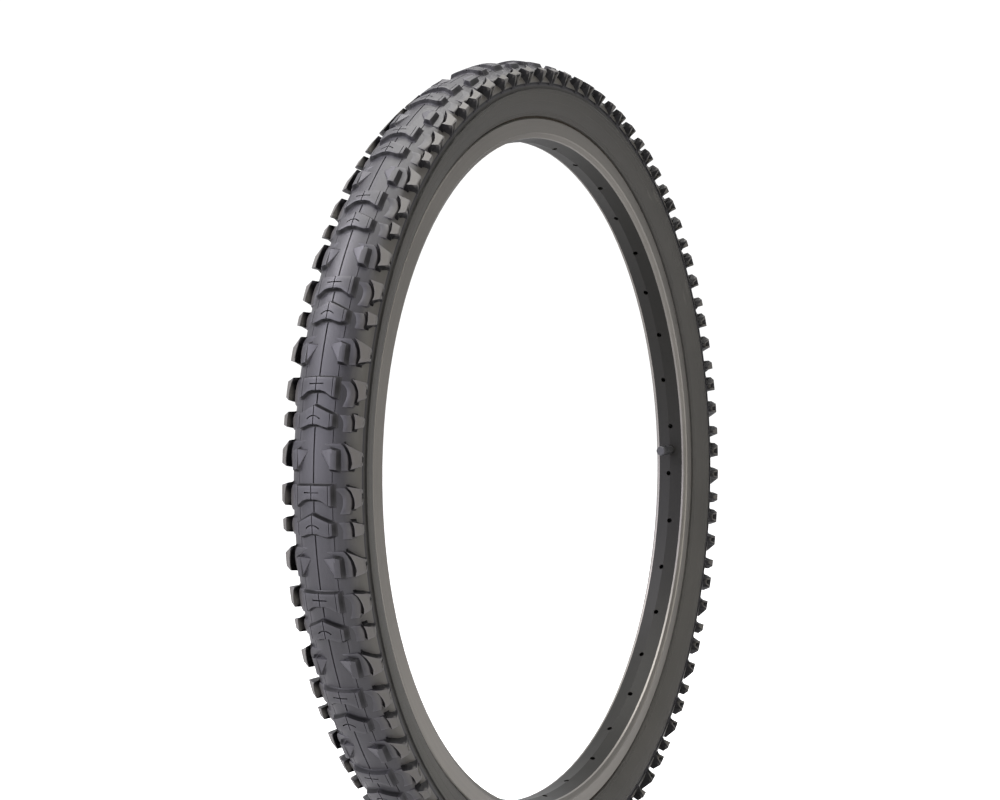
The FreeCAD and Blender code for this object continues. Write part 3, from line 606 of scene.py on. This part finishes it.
def make_sidewall(name, side):
    """One side's skin, from the sunk ring down to the lip over the bead, with its moulded rings."""
    marks = [(EDGE_TURN, -0.9), (95.6, -0.85), (96.3, 0.3), (98.0, 0.35), (99.0, 0.0)]
    marks += [(100.0, 0.0), (101.5, 0.0)]
    for turn, height in ((103.0, 0.14), (112.0, 0.1), (126.3, 0.16), (128.6, 0.22)):
        marks += [(turn - 0.35, 0.0), (turn - 0.12, height), (turn + 0.12, height), (turn + 0.35, 0.0)]
    for turn in np.arange(105.0, 132.0, 1.5):
        if min(abs(turn - mark) for mark, _ in marks) > 0.5:
            marks.append((turn, 0.0))
    marks = sorted(marks)
    outer = [tuple(skin(turn, height)) for turn, height in marks if turn < 131.0]
    outer += [(288.3, 16.5), (287.9, 16.1), (287.7, 15.4), (287.6, 14.6), (287.5, 13.8)]
    inner = [tuple(skin(turn, -SKIN_THICKNESS)) for turn in (*np.arange(129.0, EDGE_TURN, -5.0), EDGE_TURN)]
    profile = [(r, side * y) for r, y in outer + inner]
    mesh = outward(lathe(f"{name}_skin", profile, 360))
    return set_piece(f"{name}_skin", mesh, [name], sharp=24.0)


# ---- materials ---------------------------------------------------------------------------------------


class Material:
    """A node material on one Principled shader, with small helpers for its procedural inputs."""

    def __init__(self, name, **inputs):
        self.material = bpy.data.materials.new(name)
        self.material.use_nodes = True
        self.nodes, self.links = self.material.node_tree.nodes, self.material.node_tree.links
        self.shader = self.nodes["Principled BSDF"]
        for key, amount in inputs.items():
            socket = self.shader.inputs[key.replace("_", " ")]
            socket.default_value = (*amount, 1.0) if isinstance(amount, tuple) else amount
        coordinates = self.nodes.new("ShaderNodeTexCoord").outputs
        self.place, self.facing = coordinates["Object"], coordinates["Normal"]

    def node(self, kind, inputs=None, **settings):
        made = self.nodes.new(f"ShaderNode{kind}")
        for key, setting in settings.items():
            setattr(made, key, setting)
        for key, value in (inputs or {}).items():
            if isinstance(value, bpy.types.NodeSocket):
                self.links.new(value, made.inputs[key])
            else:
                made.inputs[key].default_value = value
        return made

    def maths(self, operation, a, b=0.0):
        return self.node("Math", {0: a, 1: b}, operation=operation).outputs[0]

    def noise(self, scale, detail=3.0, roughness=0.5, vector=None):
        inputs = {"Vector": vector or self.place, "Scale": scale, "Detail": detail, "Roughness": roughness}
        return self.node("TexNoise", inputs).outputs["Fac"]

    def ramp(self, factor, *stops):
        made = self.node("ValToRGB", {"Fac": factor})
        ramp = made.color_ramp
        while len(ramp.elements) < len(stops):
            ramp.elements.new(0.5)
        for element, (at, colour) in zip(ramp.elements, stops):
            element.position = at
            element.color = (*colour, 1.0) if isinstance(colour, tuple) else (colour, colour, colour, 1.0)
        return made.outputs["Color"]

    def mixed(self, factor, a, b, blend="MIX"):
        made = self.node("Mix", data_type="RGBA", blend_type=blend)
        for index, value in ((0, factor), (6, a), (7, b)):
            if isinstance(value, bpy.types.NodeSocket):
                self.links.new(value, made.inputs[index])
            else:
                made.inputs[index].default_value = (*value, 1.0) if isinstance(value, tuple) else value
        return made.outputs[2]

    def polar(self):
        """The distance from the axle, the sideways place and its size without sign."""
        x, y, z = self.node("SeparateXYZ", {0: self.place}).outputs
        squares = self.maths("ADD", self.maths("MULTIPLY", x, x), self.maths("MULTIPLY", z, z))
        return self.maths("SQRT", squares), y, self.maths("ABSOLUTE", y)

    def rings(self):
        """Coordinates (radius, sideways, 0), so that a noise over them makes rings round the wheel."""
        radius, y, _ = self.polar()
        return self.node("CombineXYZ", {0: radius, 1: y}).outputs[0]

    def span(self, value, *stops):
        """A ramp over real values, each stop (value, result)."""
        low, high = stops[0][0], stops[-1][0]
        share = self.maths("DIVIDE", self.maths("SUBTRACT", value, low), high - low)
        return self.ramp(share, *(((at - low) / (high - low), result) for at, result in stops))

    def set(self, socket, value):
        self.links.new(value, self.shader.inputs[socket])

    def bump(self, *layers):
        """Bumps laid over each other, each (height, distance in metres, strength)."""
        normal = None
        for height, distance, strength in layers:
            inputs = {"Height": height, "Distance": distance, "Strength": strength}
            if normal:
                inputs["Normal"] = normal
            normal = self.node("Bump", inputs).outputs["Normal"]
        self.set("Normal", normal)


def wall_shade_mask(made):
    """1 on the tire's outer surface and 0 on the steep walls of its blocks, from the place and normal; the
    walls at 0 are given painted shade.
    """
    radius, y, sideways = made.polar()
    x, _, z = made.node("SeparateXYZ", {0: made.place}).outputs
    share = made.maths("DIVIDE", made.maths("SUBTRACT", radius, 0.280), radius)
    flat_x, flat_z = made.maths("MULTIPLY", x, share), made.maths("MULTIPLY", z, share)
    away = made.node("CombineXYZ", {0: flat_x, 1: y, 2: flat_z}).outputs[0]
    away = made.node("VectorMath", {0: away}, operation="NORMALIZE").outputs[0]
    upright = made.node("VectorMath", {0: away, 1: made.facing}, operation="DOT_PRODUCT").outputs["Value"]
    outward_lean = made.node("SeparateXYZ", {0: made.facing}).outputs[1]
    outward_lean = made.maths("MULTIPLY", outward_lean, made.maths("SIGN", y))
    # walls that face the tire's middle are kept out of the painted shade, so that they read as lit
    inward = made.span(outward_lean, (-1.0, 0.8), (0.0, 0.0))
    reach = made.span(sideways, (0.0255, 0.0), (0.029, 0.6))
    total = made.maths("ADD", upright, made.maths("ADD", inward, reach))
    return made.ramp(total, (0.5, 0.0), (0.78, 1.0))


def sunk_ring_shade(made):
    """1 in the sunk ring that parts the tread from the sidewall, where the rubber is given painted shade."""
    radius, _, sideways = made.polar()
    ring = made.span(radius, (0.3070, 0.0), (0.3076, 1.0), (0.3124, 1.0), (0.3130, 0.0))
    return made.maths("MULTIPLY", ring, made.span(sideways, (0.020, 0.0), (0.022, 1.0)))


SIDE_BLOOM = (0.076, 0.071, 0.062)


def rubber(name, dark, light, roughness, dust_and_highlight=0.12, rings=0.0, walls=False, ring=False):
    """Matt rubber with a fine grain and pale edges, which are dust and, where raised on the tread, a painted
    highlight; the tread's has painted shade on its walls and a pale shoulder, and painted shade can darken
    the sunk ring.
    """
    made = Material(name, Specular_IOR_Level=0.5)
    broad, fine = made.noise(14.0, 4.0), made.noise(1400.0, 3.0, 0.6)
    cloudy = made.maths("ADD", made.maths("MULTIPLY", broad, 0.65), made.maths("MULTIPLY", fine, 0.35))
    base = made.ramp(cloudy, (0.3, dark), (0.7, light))
    if walls:
        unshaded, (_, _, sideways) = wall_shade_mask(made), made.polar()
        base = made.mixed(made.span(sideways, (0.019, 0.0), (0.025, 1.0)), base, SIDE_BLOOM)
        # painted shade: the steep walls get a quarter of the dark colour and a weaker specular sheen
        base = made.mixed(unshaded, tinted(dark, 0.25), base)
        made.set("Specular IOR Level", made.ramp(unshaded, (0.0, 0.2), (1.0, 0.5)))
    # painted shade: the sunk ring gets half the dark colour
    if ring:
        base = made.mixed(sunk_ring_shade(made), base, tinted(dark, 0.5))
    # pale edges from pointiness: dust on every rubber, and on the tread, where the amount is raised, a
    # painted highlight on its ribs and edges
    edge = made.node("NewGeometry").outputs["Pointiness"]
    edge_wear_and_highlight = made.ramp(edge, (0.5, 0.0), (0.58, 1.0))
    edge_dust_and_highlight = made.mixed(made.maths("MULTIPLY", edge_wear_and_highlight, dust_and_highlight), base, tinted(light, 3.2))
    made.set("Base Color", edge_dust_and_highlight)
    rough = made.ramp(cloudy, (0.25, roughness - 0.07), (0.75, roughness + 0.08))
    made.set("Roughness", rough)
    layers = [(fine, 0.00006, 0.5), (made.noise(260.0, 2.0), 0.00015, 0.35)]
    if rings:
        layers.append((made.noise(900.0, 2.0, 0.5, made.rings()), 0.0001, rings))
    made.bump(*layers)
    return made.material


def tinted(colour, amount):
    """A colour made lighter or darker by a factor."""
    return tuple(min(1.0, part * amount) for part in colour)


def turned_tone(made):
    """Fine marks of turning round the wheel, and their mixture with a broad cloudiness."""
    marks = made.noise(2600.0, 2.0, 0.6, made.rings())
    broad = made.noise(9.0, 3.0)
    tone = made.maths("ADD", made.maths("MULTIPLY", marks, 0.5), made.maths("MULTIPLY", broad, 0.5))
    made.bump((marks, 0.00004, 0.4), (made.noise(420.0, 2.0), 0.00004, 0.3))
    return tone


def alloy(name, colour, roughness):
    """Aluminium with the marks of turning."""
    made = Material(name, Metallic=1.0)
    tone = turned_tone(made)
    made.set("Base Color", made.ramp(tone, (0.3, tinted(colour, 0.86)), (0.7, tinted(colour, 1.12))))
    made.set("Roughness", made.ramp(tone, (0.3, roughness - 0.06), (0.7, roughness + 0.08)))
    return made.material


def two_tone(name, inside, side, side_half):
    """A rim's finish: dark anodising inside and a paler machined track on both sides."""
    made = Material(name, Specular_IOR_Level=0.2)
    tone = turned_tone(made)
    track = made.maths("GREATER_THAN", made.polar()[2], side_half)
    dark = made.ramp(tone, (0.3, tinted(inside, 0.8)), (0.7, tinted(inside, 1.2)))
    pale = made.ramp(tone, (0.3, tinted(side, 0.86)), (0.7, tinted(side, 1.12)))
    made.set("Base Color", made.mixed(track, dark, pale))
    made.set("Metallic", made.maths("MULTIPLY", track, 0.85))
    made.set("Roughness", made.ramp(tone, (0.3, 0.36), (0.7, 0.5)))
    return made.material


def woven(name, dark, light):
    """Cord or cloth, with threads in three directions."""
    made = Material(name, Specular_IOR_Level=0.3)
    threads = {"Vector": made.place, "Scale": 520.0, "Distortion": 0.6}
    x, y, z = (made.node("TexWave", threads, bands_direction=way).outputs["Fac"] for way in ("X", "Y", "Z"))
    weave = made.maths("MULTIPLY", y, made.maths("ADD", x, z))
    made.set("Base Color", made.ramp(weave, (0.1, dark), (0.9, light)))
    made.set("Roughness", made.ramp(weave, (0.2, 0.75), (0.8, 0.9)))
    made.bump((weave, 0.00015, 0.6))
    return made.material


def metal(name, colour, roughness):
    """Plain metal with a fine grain."""
    made = Material(name, Metallic=1.0)
    grain = made.noise(900.0, 3.0)
    made.set("Base Color", made.ramp(grain, (0.3, tinted(colour, 0.8)), (0.7, colour)))
    made.set("Roughness", made.ramp(grain, (0.3, roughness - 0.05), (0.7, roughness + 0.1)))
    made.bump((grain, 0.00002, 0.4))
    return made.material


def paint(names, material):
    """Give CAD nodes one material."""
    for name in names:
        node = frame["nodes"][name]
        node.data.materials.clear()
        node.data.materials.append(material)
        for face in node.data.polygons:
            face.material_index = 0


def compress_spring():
    """Give the valve's spring a mesh of its own, and read the axis of the valve's press joint."""
    press = next(joint for joint in frame["record"]["behaviour"]["joints"] if joint["name"] == "valve_press")
    spring, axis = frame["nodes"]["valve_core_spring"], np.array(press["axis"])
    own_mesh(spring)


# ---- stage, light and camera -------------------------------------------------------------------------


def area_light(name, place, target, size, power, colour):
    """A soft box of a size in metres and a power in watts, turned towards a target."""
    data = bpy.data.lights.new(name, "AREA")
    data.shape, data.size, data.size_y = "RECTANGLE", size[0], size[1]
    data.energy, data.color = power, colour
    lamp = bpy.data.objects.new(name, data)
    lamp.location = place
    lamp.rotation_euler = (Vector(target) - Vector(place)).to_track_quat("-Z", "Y").to_euler()
    bpy.context.scene.collection.objects.link(lamp)


def make_floor():
    """A pale floor under the wheel, which the camera sees as white."""
    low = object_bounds()[0][2]
    corners = [(-30, -30, low), (30, -30, low), (30, 30, low), (-30, 30, low)]
    mesh = mesh_from("floor", corners, [(0, 1, 2, 3)])
    floor = bpy.data.objects.new("floor", mesh)
    bpy.context.scene.collection.objects.link(floor)
    pale = Material("pale_floor", Roughness=0.9, Specular_IOR_Level=0.1)
    pale.set("Base Color", pale.ramp(pale.noise(3.0, 2.0), (0.0, 0.62), (1.0, 0.66)))
    camera_ray = pale.node("LightPath").outputs["Is Camera Ray"]
    pale.set("Emission Strength", pale.maths("MULTIPLY", camera_ray, 0.85))
    pale.shader.inputs["Emission Color"].default_value = (1.0, 1.0, 1.0, 1.0)
    floor.data.materials.append(pale.material)


def make_world():
    """A white studio, brighter towards one upper side, that the camera sees as plain white."""
    world = bpy.data.worlds.new("studio")
    world.use_nodes = True
    nodes, links = world.node_tree.nodes, world.node_tree.links
    lit = nodes["Background"]
    toward, along = nodes.new("ShaderNodeTexCoord"), nodes.new("ShaderNodeVectorMath")
    along.operation = "DOT_PRODUCT"
    along.inputs[1].default_value = (0.55, 0.75, 0.37)
    glow = nodes.new("ShaderNodeMapRange")
    glow.inputs["From Min"].default_value, glow.inputs["From Max"].default_value = -0.35, 0.75
    glow.inputs["To Min"].default_value, glow.inputs["To Max"].default_value = 0.07, 1.0
    lit.inputs["Color"].default_value = (0.98, 0.98, 1.0, 1.0)
    white = nodes.new("ShaderNodeBackground")
    white.inputs["Color"].default_value = (1.0, 1.0, 1.0, 1.0)
    white.inputs["Strength"].default_value = 1.1
    path, mix = nodes.new("ShaderNodeLightPath"), nodes.new("ShaderNodeMixShader")
    links.new(toward.outputs["Generated"], along.inputs[0])
    links.new(along.outputs["Value"], glow.inputs["Value"])
    links.new(glow.outputs["Result"], lit.inputs["Strength"])
    links.new(path.outputs["Is Camera Ray"], mix.inputs[0])
    links.new(lit.outputs[0], mix.inputs[1])
    links.new(white.outputs[0], mix.inputs[2])
    links.new(mix.outputs[0], nodes["World Output"].inputs["Surface"])
    bpy.context.scene.world = world


def make_lights():
    """Soft boxes from above and from the left, with weak fills from the right and the front."""
    area_light("overhead_box", (-0.3, -0.1, 2.4), (0, 0, 0), (2.4, 2.4), 85.0, (1.0, 0.99, 0.97))
    area_light("high_left_box", (-1.35, 1.45, 2.0), (0, 0, 0.1), (1.1, 1.1), 42.0, (0.95, 0.92, 1.0))
    area_light("left_box", (-2.1, 0.95, 0.5), (0, 0, 0), (2.4, 2.4), 66.0, (0.88, 0.86, 1.0))
    area_light("right_fill", (-0.3, -2.6, 0.8), (0, 0, 0), (1.6, 1.8), 18.0, (1.0, 0.98, 0.92))
    area_light("front_fill", (-1.7, -1.9, 0.6), (0, 0, 0), (1.4, 1.4), 7.0, (1.0, 0.98, 0.95))


CAMERA_PLACE, CAMERA_AIM = (-1.08107, -0.54605, 0.02363), (0.87689, 0.47991, 0.0273)
SENSOR_WIDTH, LENS = 36.0, 52.36


def make_camera():
    data = bpy.data.cameras.new("camera")
    data.sensor_width, data.lens = SENSOR_WIDTH, LENS
    data.clip_start, data.clip_end = 0.01, 100.0
    camera = bpy.data.objects.new("camera", data)
    camera.location = CAMERA_PLACE
    camera.rotation_euler = Vector(CAMERA_AIM).to_track_quat("-Z", "Y").to_euler()
    bpy.context.scene.collection.objects.link(camera)
    bpy.context.scene.camera = camera
    bpy.context.scene.view_settings.view_transform = "Standard"


# ---- build -------------------------------------------------------------------------------------------

# The tread's rubber has painted shade on its block walls and in the sunk ring, and a painted highlight on
# its edges.
tread_rubber = rubber(
    "tread_rubber_black",
    (0.018, 0.0172, 0.019),
    (0.030, 0.0288, 0.032),
    0.44,
    dust_and_highlight=0.35,
    walls=True,
    ring=True,
)
# The sidewall's rubber has painted shade in the sunk ring.
sidewall_rubber = rubber(
    "sidewall_rubber_black",
    (0.037, 0.035, 0.031),
    (0.054, 0.051, 0.045),
    0.58,
    rings=0.35,
    ring=True,
)
for piece in (make_centre_blocks(), make_lugs(), make_shoulder_knobs(), make_shoulder_lips(), make_band()):
    piece.data.materials.append(tread_rubber)
for node, side in (("sidewall_left", 1), ("sidewall_right", -1)):
    make_sidewall(node, side).data.materials.append(sidewall_rubber)

paint(["rim"], two_tone("rim_anodised", (0.013, 0.0125, 0.0105), (0.23, 0.218, 0.2), 0.0118))
paint(["rim_joint_sleeve"], alloy("sleeve_alloy", (0.5, 0.5, 0.5), 0.4))
paint(["casing_ply_outer", "casing_ply_inner"], woven("ply_cord", (0.03, 0.026, 0.02), (0.12, 0.10, 0.075)))
paint(["chafer_left", "chafer_right"], woven("chafer_cloth", (0.012, 0.012, 0.013), (0.04, 0.04, 0.042)))
paint(["bead_wire_left", "bead_wire_right"], metal("bead_steel", (0.55, 0.5, 0.42), 0.35))
paint(["rim_strip"], rubber("strip_rubber", (0.012, 0.012, 0.012), (0.022, 0.022, 0.022), 0.6))
paint(["inner_tube", "valve_patch"], rubber("tube_butyl", (0.015, 0.015, 0.016), (0.028, 0.028, 0.03), 0.45))
paint(["valve_stem", "valve_core_body", "valve_pin"], metal("valve_brass", (0.72, 0.53, 0.25), 0.3))
paint(["valve_stem_rubber"], rubber("valve_rubber", (0.014, 0.014, 0.014), (0.026, 0.026, 0.026), 0.5))
seal_rubber = rubber("seal_rubber", (0.25, 0.03, 0.02), (0.35, 0.05, 0.03), 0.5)
paint(["valve_core_seal", "valve_plunger_seal", "valve_cap_seal"], seal_rubber)
paint(["valve_core_spring"], metal("spring_steel", (0.6, 0.6, 0.58), 0.3))
paint(["valve_cap"], rubber("cap_plastic", (0.012, 0.012, 0.013), (0.022, 0.022, 0.024), 0.38))

compress_spring()
make_floor()
make_world()
make_lights()
make_camera()
